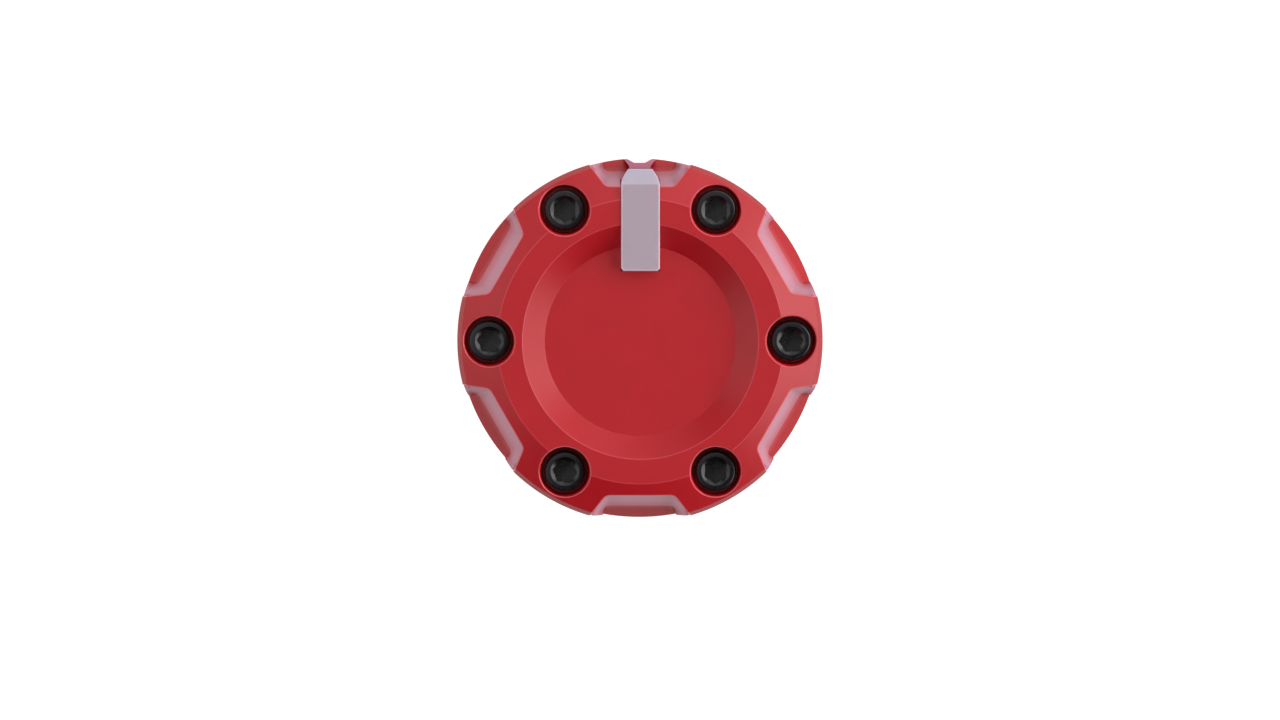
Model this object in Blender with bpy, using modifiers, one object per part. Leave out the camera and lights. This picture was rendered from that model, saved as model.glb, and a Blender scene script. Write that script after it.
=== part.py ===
"""Rotary control knob for a lit panel, as it comes apart on a bench.

A dished front cover and a hollow base clamp a translucent light ring between them with six
socket-head screws in brass inserts. A translucent pointer stands on the ring and comes up through
a slot in the cover. A split, keyed sleeve with a spring band carries the knob on a D-shaped
spindle, which turns in a flanged bush fixed to the panel.

Metres, +Z out of the front face, the pointer towards +Y. The panel's face is the plane z = 0 and
the spindle's axis is the Z axis.
"""

import math

import bmesh
import bpy
from mathutils import Matrix

MM = 0.001

# Driving dimensions of the whole knob
COVER_RADIUS = 26.0 * MM
BASE_RADIUS = 25.85 * MM
REAR_RIM_Z = 1.0 * MM
LAYER_GAP = 0.05 * MM
RING_BOTTOM_Z = 10.0 * MM
COVER_BOTTOM_Z = 14.0 * MM
LAND_Z = 21.0 * MM
SCREW_COUNT = 6
SCREW_CIRCLE = 21.4 * MM

# Front cover
DISH_FLOOR_RADIUS = 13.55 * MM
DISH_RADIUS = 16.7 * MM
DISH_FLOOR_Z = 18.5 * MM
LAND_RADIUS = 20.2 * MM
SLOPE_FOOT_RADIUS = 25.35 * MM
SLOPE_FOOT_Z = 18.5 * MM
BAND_FOOT_Z = 16.25 * MM
COVER_RECESS_RADIUS = 15.9 * MM
COVER_RECESS_Z = 16.1 * MM
COUNTERBORE_RADIUS = 3.6 * MM
COUNTERBORE_Z = 15.4 * MM
SCREW_HOLE_RADIUS = 1.7 * MM

# Windows: scallops in the rim, half way between the screws
WINDOW_CHORD = 21.94 * MM
WINDOW_HALF = 4.85 * MM
WINDOW_FLARE = 0.757
WINDOW_CORNER = 1.2 * MM
WINDOW_FOOT_CHORD = 23.9 * MM
WINDOW_FOOT_HALF = 4.8 * MM
WINDOW_REACH = 28.0 * MM
RAMP_FOOT_CHORD = 26.1 * MM
RAMP_FOOT_Z = 5.8 * MM

# Light ring, its pads behind the windows and its tongue at 12 o'clock
RING_INNER = 15.6 * MM
RING_FOOT_RADIUS = 25.75 * MM
COVER_SKIN = 1.6 * MM
PAD_INNER = 20.8 * MM
PAD_HALF = 5.7 * MM
PAD_SIDE = (8.2 * MM, 23.5 * MM)
PAD_OUTER = (5.2 * MM, 24.4 * MM)
TONGUE_WAIST = (1.5 * MM, 24.75 * MM)
TONGUE_RIM_HALF = 2.36 * MM
TONGUE_INNER = 22.4 * MM
TONGUE_TOP_Z = 15.2 * MM
TONGUE_BOTTOM_Z = 3.6 * MM
GROOVE_DEPTH = 0.6 * MM
GROOVE_HALF = 1.95 * MM
GROOVE_FLOOR_HALF = 0.83 * MM

# Pointer
POINTER_HALF = 2.74 * MM
POINTER_INNER = 9.95 * MM
POINTER_BEND = 22.2 * MM
POINTER_END = 24.35 * MM
POINTER_TOP_Z = 21.4 * MM
POINTER_END_Z = 19.6 * MM
POINTER_END_HALF = 1.6 * MM
POINTER_FOOT_INNER = 15.95 * MM
POINTER_FOOT_OUTER = 22.3 * MM
LIP_HALF = 3.6 * MM
LIP_ENDS = (16.2 * MM, 20.35 * MM)
LIP_TOP_Z = 15.55 * MM
POINTER_CLEARANCE = 0.06 * MM

# Base body
BASE_WALL_INNER = 23.6 * MM
PLATE_BOTTOM_Z = 8.0 * MM
RIM_CHAMFER = 0.4 * MM
SPIGOT_INNER = 13.6 * MM
SPIGOT_OUTER = 15.5 * MM
SPIGOT_TOP_Z = 13.5 * MM
HUB_INNER = 5.75 * MM
HUB_OUTER = 8.3 * MM
HUB_BOTTOM_Z = 6.6 * MM
HUB_TOP_Z = 13.9 * MM
BOSS_RADIUS = 3.25 * MM
BOSS_BOTTOM_Z = 4.5 * MM
RIB_WIDTH = 1.2 * MM
RIB_BOTTOM_Z = 5.5 * MM
LIGHT_SLOT_RADII = (16.5 * MM, 20.3 * MM)
LIGHT_SLOT_SPAN = math.radians(28)
KEY_HALF = 1.2 * MM
KEY_BOTTOM_Z = 12.6 * MM
KEY_REACH = 7.7 * MM
KEY_CLEARANCE = 0.1 * MM

# Socket-head cap screw, M3 x 10, and its heat-set insert
HEAD_RADIUS = 2.72 * MM
HEAD_HEIGHT = 3.0 * MM
HEAD_CHAMFER = 0.2 * MM
SHANK_RADIUS = 1.5 * MM
SHANK_LENGTH = 10.0 * MM
TIP_CHAMFER = 0.3 * MM
HEX_ACROSS_FLATS = 2.55 * MM
HEX_DEPTH = 1.6 * MM
HEX_LEAD_RADIUS = 1.98 * MM
HEX_LEAD_DEPTH = 0.35 * MM
HEX_TURNS = (4.0, 30.0, 30.0, -6.0, -8.0, 28.0)
INSERT_RADIUS = 2.1 * MM
INSERT_GROOVE_RADIUS = 1.9 * MM
INSERT_BORE = 1.55 * MM
INSERT_Z = (6.0 * MM, 9.9 * MM)
INSERT_GROOVE_Z = (7.7 * MM, 8.3 * MM)
INSERT_HOLE_RADIUS = 2.15 * MM

# Shaft socket and its spring band
SOCKET_RADIUS = 5.0 * MM
SOCKET_BOTTOM_Z = 7.3 * MM
SOCKET_FLANGE_RADIUS = 8.0 * MM
SOCKET_FLANGE_Z = (14.0 * MM, 15.8 * MM)
SOCKET_SLIT = 1.0 * MM
SOCKET_SLIT_TOP_Z = 12.0 * MM
BAND_RADII = (5.1 * MM, 5.5 * MM)
BAND_Z = (9.0 * MM, 12.4 * MM)
BAND_SPAN = math.radians(290)

# Spindle, its E-clip, thrust washer and bush
SPINDLE_RADIUS = 3.0 * MM
SPINDLE_FLAT = 1.5 * MM
SPINDLE_Z = (0.3 * MM, 15.2 * MM)
SPINDLE_FLAT_Z = 6.9 * MM
SPINDLE_HEAD_RADIUS = 3.8 * MM
SPINDLE_HEAD_TOP_Z = 1.1 * MM
SPINDLE_CHAMFER = 0.4 * MM
SPINDLE_FIT = 0.08 * MM
CLIP_GROOVE_RADIUS = 2.4 * MM
CLIP_GROOVE_Z = (5.95 * MM, 6.65 * MM)
CLIP_RADII = (2.45 * MM, 3.3 * MM, 4.4 * MM)
CLIP_Z = (6.0 * MM, 6.6 * MM)
CLIP_SPAN = math.radians(270)
CLIP_PRONG_SPAN = math.radians(36)
WASHER_RADII = (3.15 * MM, 4.3 * MM)
WASHER_Z = (5.58 * MM, 5.88 * MM)
BUSH_BORE = 3.1 * MM
BUSH_RECESS_RADIUS = 4.0 * MM
BUSH_RECESS_Z = 1.3 * MM
BUSH_FLANGE_RADIUS = 9.5 * MM
BUSH_FLANGE_Z = 2.0 * MM
BUSH_NECK_RADIUS = 4.6 * MM
BUSH_TOP_Z = 5.5 * MM
BUSH_HOLE_CIRCLE = 7.0 * MM
BUSH_HOLE_RADIUS = 1.6 * MM

# Fineness of the round shapes
BODY_STEPS = 60
SMALL_STEPS = 24
INSERT_STEPS = 16
ARC_STEPS = 4
OVERRUN = 2.0 * MM
MERGE = 0.001 * MM
SMOOTH_ANGLE = math.radians(35)

# Colour, roughness and metallic value of each material
FINISHES = {
    "red_nylon": ((0.43, 0.022, 0.031, 1.0), 0.45, 0.0),
    "frosted_acrylic": ((0.62, 0.50, 0.60, 1.0), 0.55, 0.0),
    "black_oxide_steel": ((0.016, 0.016, 0.019, 1.0), 0.38, 1.0),
    "insert_brass": ((0.60, 0.42, 0.17, 1.0), 0.32, 1.0),
    "black_nylon": ((0.018, 0.018, 0.020, 1.0), 0.55, 0.0),
    "spring_steel": ((0.42, 0.43, 0.45, 1.0), 0.28, 1.0),
    "bush_zinc": ((0.36, 0.36, 0.38, 1.0), 0.42, 1.0),
}


def clear_scene():
    for obj in list(bpy.data.objects):
        bpy.data.objects.remove(obj, do_unlink=True)


def new_collection(name):
    collection = bpy.data.collections.new(name)
    bpy.context.scene.collection.children.link(collection)
    return collection


def make_material(name):
    colour, roughness, metallic = FINISHES[name]
    material = bpy.data.materials.new(name)
    material.use_nodes = True
    shader = material.node_tree.nodes["Principled BSDF"]
    shader.inputs["Base Color"].default_value = colour
    shader.inputs["Roughness"].default_value = roughness
    shader.inputs["Metallic"].default_value = metallic
    material.diffuse_color = colour
    return material


clear_scene()
PARTS = new_collection("rotary_knob")
CUTTERS = new_collection("cutters")
MATERIALS = {name: make_material(name) for name in FINISHES}

KNOB_AXIS = bpy.data.objects.new("knob_axis", None)
PARTS.objects.link(KNOB_AXIS)


def as_part(obj, material, turns=True):
    """Puts a shape among the parts, gives it its material, and hangs it on the knob's axis."""
    PARTS.objects.link(obj)
    obj.data.materials.append(MATERIALS[material])
    if turns:
        obj.parent = KNOB_AXIS
    return obj


def turned(name, profile, closed, steps=BODY_STEPS):
    """A profile of (radius, z) points, outer side running down, turned about Z."""
    mesh = bpy.data.meshes.new(name)
    edges = [(i, i + 1) for i in range(len(profile) - 1)]
    if closed:
        edges.append((len(profile) - 1, 0))
    mesh.from_pydata([(radius, 0.0, z) for radius, z in profile], edges, [])
    obj = bpy.data.objects.new(name, mesh)
    screw = obj.modifiers.new("turn", "SCREW")
    screw.axis = "Z"
    screw.steps = steps
    screw.render_steps = steps
    screw.use_merge_vertices = True
    screw.merge_threshold = MERGE
    screw.use_smooth_shade = True
    return obj


def prism(name, outline, bottom, top, top_outline=None):
    """An outline extruded from z = bottom to z = top, there drawn in or out to top_outline."""
    mesh = bpy.data.meshes.new(name)
    shape = bmesh.new()
    corners = [shape.verts.new((x, y, bottom)) for x, y in outline]
    lower = shape.faces.new(corners)
    grown = bmesh.ops.extrude_face_region(shape, geom=[lower])
    raised = [item for item in grown["geom"] if isinstance(item, bmesh.types.BMVert)]
    ends = top_outline or outline
    for vert in raised:
        place = min(range(len(outline)), key=lambda i: math.dist(outline[i], vert.co.xy))
        vert.co = (*ends[place], top)
    bmesh.ops.recalc_face_normals(shape, faces=shape.faces)
    shape.to_mesh(mesh)
    shape.free()
    return bpy.data.objects.new(name, mesh)


def box(name, low, high):
    outline = [(low[0], low[1]), (high[0], low[1]), (high[0], high[1]), (low[0], high[1])]
    return prism(name, outline, low[2], high[2])


def combine(target, others, operation):
    """One Boolean on the target, with all the other shapes at once."""
    group = bpy.data.collections.new(f"{operation.lower()}_{target.name}")
    CUTTERS.children.link(group)
    for other in others:
        group.objects.link(other)
        other.hide_render = True
        other.display_type = "WIRE"
    boolean = target.modifiers.new(operation.lower(), "BOOLEAN")
    boolean.operation = operation
    boolean.solver = "EXACT"
    boolean.operand_type = "COLLECTION"
    boolean.collection = group


def cut(target, *others):
    combine(target, others, "DIFFERENCE")


def join(target, *others):
    combine(target, others, "UNION")


def keep_inside(target, other):
    combine(target, [other], "INTERSECT")


def angle_of(index, offset=0.0):
    return math.tau * index / SCREW_COUNT + offset


def ring_of(first, offset=0.0, centre_radius=0.0):
    """First and its copies, as cutters, one at each sixth of a turn."""
    copies = []
    for index in range(SCREW_COUNT):
        copy = bpy.data.objects.new(f"{first.name}_{index + 1}", first.data)
        for modifier in first.modifiers:
            twin = copy.modifiers.new(modifier.name, modifier.type)
            for field in ("axis", "steps", "render_steps", "use_merge_vertices", "merge_threshold"):
                setattr(twin, field, getattr(modifier, field))
        turn = Matrix.Rotation(angle_of(index, offset), 4, "Z")
        copy.matrix_world = turn @ Matrix.Translation((centre_radius, 0.0, 0.0))
        copies.append(copy)
    return copies


def arc(radius, start, end, steps):
    """Points on a circle about the origin, from one angle to another."""
    angles = [start + (end - start) * i / steps for i in range(steps + 1)]
    return [(radius * math.cos(a), radius * math.sin(a)) for a in angles]


def sector(radii, span, middle, steps):
    """The outline of part of a flat ring, as wide as span and centred on the angle middle."""
    inner = arc(radii[0], middle - span / 2, middle + span / 2, steps)
    outer = arc(radii[1], middle - span / 2, middle + span / 2, steps)
    return outer + inner[::-1]


def mirrored(half):
    """A half outline at +x, listed from low y to high y, with its mirror image at -x."""
    return half + [(-x, y) for x, y in reversed(half)]


def slope_z(y):
    """Height of the cover's sloped face at a distance y from the axis."""
    fall = (LAND_Z - SLOPE_FOOT_Z) / (SLOPE_FOOT_RADIUS - LAND_RADIUS)
    return LAND_Z - (y - LAND_RADIUS) * fall


def window_half(chord, half, reach):
    """One side of a window's outline, from its rounded inner corner out to y = reach."""
    lean = math.atan(WINDOW_FLARE)
    turn = math.pi / 2 - lean
    tangent = WINDOW_CORNER * math.tan(turn / 2)
    centre = (half - tangent, chord + WINDOW_CORNER)
    angles = [-math.pi / 2 + turn * i / ARC_STEPS for i in range(ARC_STEPS + 1)]
    corner = [
        (centre[0] + WINDOW_CORNER * math.cos(a), centre[1] + WINDOW_CORNER * math.sin(a))
        for a in angles
    ]
    return corner + [(half + (reach - chord) * WINDOW_FLARE, reach)]


WINDOW_TOP = mirrored(window_half(WINDOW_CHORD, WINDOW_HALF, WINDOW_REACH))
WINDOW_FOOT = mirrored(window_half(WINDOW_FOOT_CHORD, WINDOW_FOOT_HALF, WINDOW_REACH))
RAMP_FOOT = mirrored(window_half(RAMP_FOOT_CHORD, WINDOW_FOOT_HALF, WINDOW_REACH + OVERRUN))


def drawn_on(lower, upper, lower_z, upper_z, z):
    """The outline that the straight loft from lower to upper has at height z."""
    share = (z - lower_z) / (upper_z - lower_z)
    return [
        (a[0] + (b[0] - a[0]) * share, a[1] + (b[1] - a[1]) * share)
        for a, b in zip(lower, upper)
    ]


def tongue_outline(grow=0.0):
    """The light ring's tongue at 12 o'clock, seen from the front."""
    waist, waist_y = TONGUE_WAIST
    rim_y = COVER_RADIUS + OVERRUN
    flare = (TONGUE_RIM_HALF - waist) / (BASE_RADIUS - waist_y)
    half = [
        (waist + grow, TONGUE_INNER - grow),
        (waist + grow, waist_y),
        (waist + grow + (rim_y - waist_y) * flare, rim_y),
    ]
    return mirrored(half)


def groove_cutter():
    floor_y = BASE_RADIUS - GROOVE_DEPTH
    rim_y = COVER_RADIUS + OVERRUN
    flare = (GROOVE_HALF - GROOVE_FLOOR_HALF) / GROOVE_DEPTH
    half = [(GROOVE_FLOOR_HALF, floor_y), (GROOVE_HALF + (rim_y - BASE_RADIUS) * flare, rim_y)]
    return prism("index_groove", mirrored(half), -OVERRUN, LAND_Z)


def front_cover():
    profile = [
        (0.0, DISH_FLOOR_Z),
        (DISH_FLOOR_RADIUS, DISH_FLOOR_Z),
        (DISH_RADIUS, LAND_Z),
        (LAND_RADIUS, LAND_Z),
        (SLOPE_FOOT_RADIUS, SLOPE_FOOT_Z),
        (COVER_RADIUS, BAND_FOOT_Z),
        (COVER_RADIUS, COVER_BOTTOM_Z + LAYER_GAP),
        (COVER_RECESS_RADIUS, COVER_BOTTOM_Z + LAYER_GAP),
        (COVER_RECESS_RADIUS, COVER_RECESS_Z),
        (0.0, COVER_RECESS_Z),
    ]
    cover = as_part(turned("front_cover", profile, closed=False), "red_nylon")
    low, high = COVER_BOTTOM_Z - OVERRUN, LAND_Z + OVERRUN
    window = prism("window", WINDOW_TOP, low, high)
    counterbore_profile = [
        (0.0, high),
        (COUNTERBORE_RADIUS, high),
        (COUNTERBORE_RADIUS, COUNTERBORE_Z),
        (SCREW_HOLE_RADIUS, COUNTERBORE_Z),
        (SCREW_HOLE_RADIUS, low),
        (0.0, low),
    ]
    counterbore = turned("counterbore", counterbore_profile, closed=False, steps=SMALL_STEPS)
    slot_half = POINTER_HALF + POINTER_CLEARANCE
    slot = box(
        "pointer_slot",
        (-slot_half, POINTER_INNER - POINTER_CLEARANCE, low),
        (slot_half, WINDOW_CHORD + WINDOW_CORNER, high),
    )
    lip_pocket = box(
        "lip_pocket",
        (-LIP_HALF - POINTER_CLEARANCE, LIP_ENDS[0] - POINTER_CLEARANCE, low),
        (LIP_HALF + POINTER_CLEARANCE, LIP_ENDS[1] + POINTER_CLEARANCE, LIP_TOP_Z + LAYER_GAP),
    )
    quarter = math.pi / 2
    to_window = math.pi / SCREW_COUNT
    windows = ring_of(window, to_window - quarter)
    pockets = ring_of(pad_block("pad_pocket", 2 * LAYER_GAP, low), to_window - quarter)
    counterbores = ring_of(counterbore, centre_radius=SCREW_CIRCLE)
    cut(cover, *windows, *pockets, *counterbores, slot, lip_pocket)
    return cover


def pad_block(name, grow, bottom, inner_half=None):
    """A light-ring pad, grown by a clearance; its top follows the cover's slope under the skin."""
    side_x, side_y = PAD_SIDE
    outer_x, outer_y = PAD_OUTER
    half = [
        (PAD_HALF + grow, PAD_INNER - grow),
        (side_x + grow, side_y),
        (outer_x + grow, outer_y + grow),
    ]
    if inner_half is None:
        outline = mirrored(half)
    else:
        outline = [(inner_half, PAD_INNER - grow), *half, (inner_half, outer_y + grow)]
    block = prism(name, outline, bottom, LAND_Z)
    half_way = (bottom + LAND_Z) / 2
    for vert in block.data.vertices:
        if vert.co.z > half_way:
            vert.co.z = slope_z(vert.co.y) - COVER_SKIN + grow
    return block


def light_ring(groove):
    top = COVER_BOTTOM_Z - LAYER_GAP
    bottom = RING_BOTTOM_Z + LAYER_GAP
    profile = [
        (RING_INNER, top),
        (BASE_RADIUS, top),
        (RING_FOOT_RADIUS, bottom),
        (RING_INNER, bottom),
    ]
    ring = as_part(turned("light_ring", profile, closed=True), "frosted_acrylic")
    quarter = math.pi / 2
    to_window = math.pi / SCREW_COUNT
    root = bottom + OVERRUN
    pads = ring_of(pad_block("pad", 0.0, root), to_window - quarter)
    at_pointer = 1
    split_at = POINTER_HALF + 2 * POINTER_CLEARANCE
    right_pad = pad_block("pad_right", 0.0, root, split_at)
    left_pad = pad_block("pad_left", 0.0, root, split_at)
    left_pad.scale.x = -1.0
    bpy.data.objects.remove(pads.pop(at_pointer))
    join(ring, *pads, right_pad, left_pad)
    low, high = RING_BOTTOM_Z - OVERRUN, LAND_Z + OVERRUN
    scallop = prism(
        "scallop",
        drawn_on(WINDOW_FOOT, WINDOW_TOP, RING_BOTTOM_Z, SLOPE_FOOT_Z, low),
        low,
        high,
        drawn_on(WINDOW_FOOT, WINDOW_TOP, RING_BOTTOM_Z, SLOPE_FOOT_Z, high),
    )
    cut(ring, *ring_of(scallop, to_window - quarter))
    tongue = prism("tongue", tongue_outline(), TONGUE_BOTTOM_Z, TONGUE_TOP_Z)
    keep_inside(tongue, rim_cylinder())
    join(ring, tongue)
    hole_profile = [
        (0.0, high),
        (SCREW_HOLE_RADIUS, high),
        (SCREW_HOLE_RADIUS, low),
        (0.0, low),
    ]
    hole = turned("ring_hole", hole_profile, closed=False, steps=SMALL_STEPS)
    cut(ring, *ring_of(hole, centre_radius=SCREW_CIRCLE), groove)
    return ring


def rim_cylinder():
    profile = [(0.0, LAND_Z), (BASE_RADIUS, LAND_Z), (BASE_RADIUS, 0.0), (0.0, 0.0)]
    return turned("rim_cylinder", profile, closed=False)


def pointer_half_at(y):
    """Half the pointer's width: full to the bend, then drawing in to the rim."""
    share = max(0.0, (y - POINTER_BEND) / (POINTER_END - POINTER_BEND))
    return POINTER_HALF - (POINTER_HALF - POINTER_END_HALF) * share**2


def pointer():
    foot_z = COVER_BOTTOM_Z + LAYER_GAP
    over_tongue_z = TONGUE_TOP_Z + LAYER_GAP
    over_recess_z = COVER_RECESS_Z + 2 * LAYER_GAP
    side = [
        (POINTER_INNER, over_recess_z),
        (POINTER_FOOT_INNER, over_recess_z),
        (POINTER_FOOT_INNER, foot_z),
        (POINTER_FOOT_OUTER, foot_z),
        (POINTER_FOOT_OUTER, over_tongue_z),
        (POINTER_END, over_tongue_z),
        (POINTER_END, POINTER_END_Z),
        (POINTER_BEND, POINTER_TOP_Z),
        (POINTER_INNER, POINTER_TOP_Z),
    ]
    bar = prism("pointer", side, -POINTER_HALF, POINTER_HALF)
    # The side view was drawn in x and y: x becomes y, y becomes z, and the thickness becomes x.
    bar.data.transform(Matrix(((0, 0, 1, 0), (1, 0, 0, 0), (0, 1, 0, 0), (0, 0, 0, 1))))
    as_part(bar, "frosted_acrylic")
    steps = 6
    stations = [POINTER_BEND + (POINTER_END - POINTER_BEND) * i / steps for i in range(steps + 1)]
    edge = [(pointer_half_at(y), y) for y in stations]
    plan = mirrored([(POINTER_HALF + OVERRUN, POINTER_INNER - OVERRUN),
                     (POINTER_HALF + OVERRUN, POINTER_BEND), *edge])
    keep_inside(bar, prism("pointer_plan", plan, 0.0, LAND_Z + OVERRUN))
    lip = box("pointer_lip", (-LIP_HALF, LIP_ENDS[0], foot_z), (LIP_HALF, LIP_ENDS[1], LIP_TOP_Z))
    join(bar, lip)
    return bar


def base_body(groove):
    profile = [
        (HUB_INNER, HUB_TOP_Z),
        (HUB_OUTER, HUB_TOP_Z),
        (HUB_OUTER, RING_BOTTOM_Z),
        (SPIGOT_INNER, RING_BOTTOM_Z),
        (SPIGOT_INNER, SPIGOT_TOP_Z),
        (SPIGOT_OUTER, SPIGOT_TOP_Z),
        (SPIGOT_OUTER, RING_BOTTOM_Z),
        (BASE_RADIUS, RING_BOTTOM_Z),
        (BASE_RADIUS, REAR_RIM_Z + RIM_CHAMFER),
        (BASE_RADIUS - RIM_CHAMFER, REAR_RIM_Z),
        (BASE_WALL_INNER, REAR_RIM_Z),
        (BASE_WALL_INNER, PLATE_BOTTOM_Z),
        (HUB_OUTER, PLATE_BOTTOM_Z),
        (HUB_OUTER, HUB_BOTTOM_Z),
        (HUB_INNER, HUB_BOTTOM_Z),
    ]
    base = as_part(turned("base_body", profile, closed=True), "red_nylon")
    in_plate = (PLATE_BOTTOM_Z + RING_BOTTOM_Z) / 2
    boss_profile = [
        (0.0, in_plate),
        (BOSS_RADIUS, in_plate),
        (BOSS_RADIUS, BOSS_BOTTOM_Z),
        (0.0, BOSS_BOTTOM_Z),
    ]
    boss = turned("boss", boss_profile, closed=False, steps=SMALL_STEPS)
    in_hub = (HUB_INNER + HUB_OUTER) / 2
    rib = box(
        "rib",
        (in_hub, -RIB_WIDTH / 2, RIB_BOTTOM_Z),
        (SCREW_CIRCLE - BOSS_RADIUS / 2, RIB_WIDTH / 2, in_plate),
    )
    join(base, *ring_of(boss, centre_radius=SCREW_CIRCLE), *ring_of(rib))
    hole_profile = [
        (0.0, RING_BOTTOM_Z + OVERRUN),
        (INSERT_HOLE_RADIUS, RING_BOTTOM_Z + OVERRUN),
        (INSERT_HOLE_RADIUS, BOSS_BOTTOM_Z - OVERRUN),
        (0.0, BOSS_BOTTOM_Z - OVERRUN),
    ]
    hole = turned("insert_hole", hole_profile, closed=False, steps=SMALL_STEPS)
    holes = ring_of(hole, centre_radius=SCREW_CIRCLE)
    to_window = math.pi / SCREW_COUNT
    slot_outline = sector(LIGHT_SLOT_RADII, LIGHT_SLOT_SPAN, 0.0, ARC_STEPS)
    light_slot = prism(
        "light_slot", slot_outline, PLATE_BOTTOM_Z - OVERRUN, RING_BOTTOM_Z + OVERRUN
    )
    light_slots = ring_of(light_slot, to_window)
    high = RING_BOTTOM_Z + OVERRUN
    ramp = prism(
        "ramp", RAMP_FOOT, RAMP_FOOT_Z, high,
        drawn_on(RAMP_FOOT, WINDOW_FOOT, RAMP_FOOT_Z, RING_BOTTOM_Z, high),
    )
    ramps = ring_of(ramp, to_window - math.pi / 2)
    key_notch = box(
        "key_notch",
        (-HUB_OUTER - OVERRUN / 2, -KEY_HALF - KEY_CLEARANCE, KEY_BOTTOM_Z - KEY_CLEARANCE),
        (HUB_OUTER + OVERRUN / 2, KEY_HALF + KEY_CLEARANCE, HUB_TOP_Z + OVERRUN),
    )
    tongue_slot = prism(
        "tongue_slot", tongue_outline(POINTER_CLEARANCE), TONGUE_BOTTOM_Z - LAYER_GAP, high
    )
    cut(base, *holes, *light_slots, *ramps, key_notch, tongue_slot, groove)
    return base


def screw(index):
    underside = COUNTERBORE_Z + LAYER_GAP
    top = underside + HEAD_HEIGHT
    tip = underside - SHANK_LENGTH
    profile = [
        (0.0, top),
        (HEAD_RADIUS - HEAD_CHAMFER, top),
        (HEAD_RADIUS, top - HEAD_CHAMFER),
        (HEAD_RADIUS, underside),
        (SHANK_RADIUS, underside),
        (SHANK_RADIUS, tip + TIP_CHAMFER),
        (SHANK_RADIUS - TIP_CHAMFER, tip),
        (0.0, tip),
    ]
    name = f"screw_{index + 1}"
    body = as_part(turned(name, profile, closed=False, steps=SMALL_STEPS), "black_oxide_steel")
    corner = HEX_ACROSS_FLATS / math.sqrt(3)
    hexagon = arc(corner, 0.0, math.tau * 5 / 6, 5)
    socket = prism(f"{name}_hex", hexagon, top - HEX_DEPTH, top + OVERRUN)
    lead = prism(
        f"{name}_lead",
        arc(HEX_LEAD_RADIUS - HEX_LEAD_DEPTH, 0.0, math.tau * 23 / 24, 23),
        top - HEX_LEAD_DEPTH,
        top + HEX_LEAD_DEPTH,
        arc(HEX_LEAD_RADIUS + HEX_LEAD_DEPTH, 0.0, math.tau * 23 / 24, 23),
    )
    place = Matrix.Rotation(angle_of(index), 4, "Z") @ Matrix.Translation((SCREW_CIRCLE, 0, 0))
    turn = Matrix.Rotation(math.radians(HEX_TURNS[index]), 4, "Z")
    body.matrix_world = place
    socket.matrix_world = place @ turn
    lead.matrix_world = place
    cut(body, lead, socket)
    return body


def insert(index):
    low, high = INSERT_Z
    groove_low, groove_high = INSERT_GROOVE_Z
    profile = [
        (INSERT_BORE, high),
        (INSERT_RADIUS, high),
        (INSERT_RADIUS, groove_high),
        (INSERT_GROOVE_RADIUS, groove_high),
        (INSERT_GROOVE_RADIUS, groove_low),
        (INSERT_RADIUS, groove_low),
        (INSERT_RADIUS, low),
        (INSERT_BORE, low),
    ]
    body = turned(f"insert_{index + 1}", profile, closed=True, steps=INSERT_STEPS)
    as_part(body, "insert_brass")
    place = Matrix.Rotation(angle_of(index), 4, "Z") @ Matrix.Translation((SCREW_CIRCLE, 0, 0))
    body.matrix_world = place
    return body


def d_outline(radius, flat):
    """A circle with its far -y side cut off flat, as on the spindle."""
    low = -math.asin(flat / radius)
    return arc(radius, low, math.pi - low, SMALL_STEPS)


def shaft_socket():
    flange_low, flange_high = SOCKET_FLANGE_Z
    profile = [
        (0.0, flange_high),
        (SOCKET_FLANGE_RADIUS, flange_high),
        (SOCKET_FLANGE_RADIUS, flange_low),
        (SOCKET_RADIUS, flange_low),
        (SOCKET_RADIUS, SOCKET_BOTTOM_Z),
        (0.0, SOCKET_BOTTOM_Z),
    ]
    sleeve = turned("shaft_socket", profile, closed=False, steps=2 * SMALL_STEPS)
    as_part(sleeve, "black_nylon")
    in_flange = (flange_low + flange_high) / 2
    keys = box("socket_keys", (-KEY_REACH, -KEY_HALF, KEY_BOTTOM_Z), (KEY_REACH, KEY_HALF, in_flange))
    low, high = SOCKET_BOTTOM_Z - OVERRUN, flange_high + OVERRUN
    bore = prism(
        "socket_bore", d_outline(SPINDLE_RADIUS + SPINDLE_FIT, SPINDLE_FLAT + SPINDLE_FIT), low, high
    )
    slit = box(
        "socket_slit",
        (-SOCKET_SLIT / 2, SPINDLE_FLAT, low),
        (SOCKET_SLIT / 2, SOCKET_RADIUS + OVERRUN, SOCKET_SLIT_TOP_Z),
    )
    join(sleeve, keys)
    cut(sleeve, bore, slit)
    return sleeve


def spring_clip():
    outline = sector(BAND_RADII, BAND_SPAN, math.pi / 2, SMALL_STEPS)
    return as_part(prism("spring_clip", outline, *BAND_Z), "spring_steel")


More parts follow.
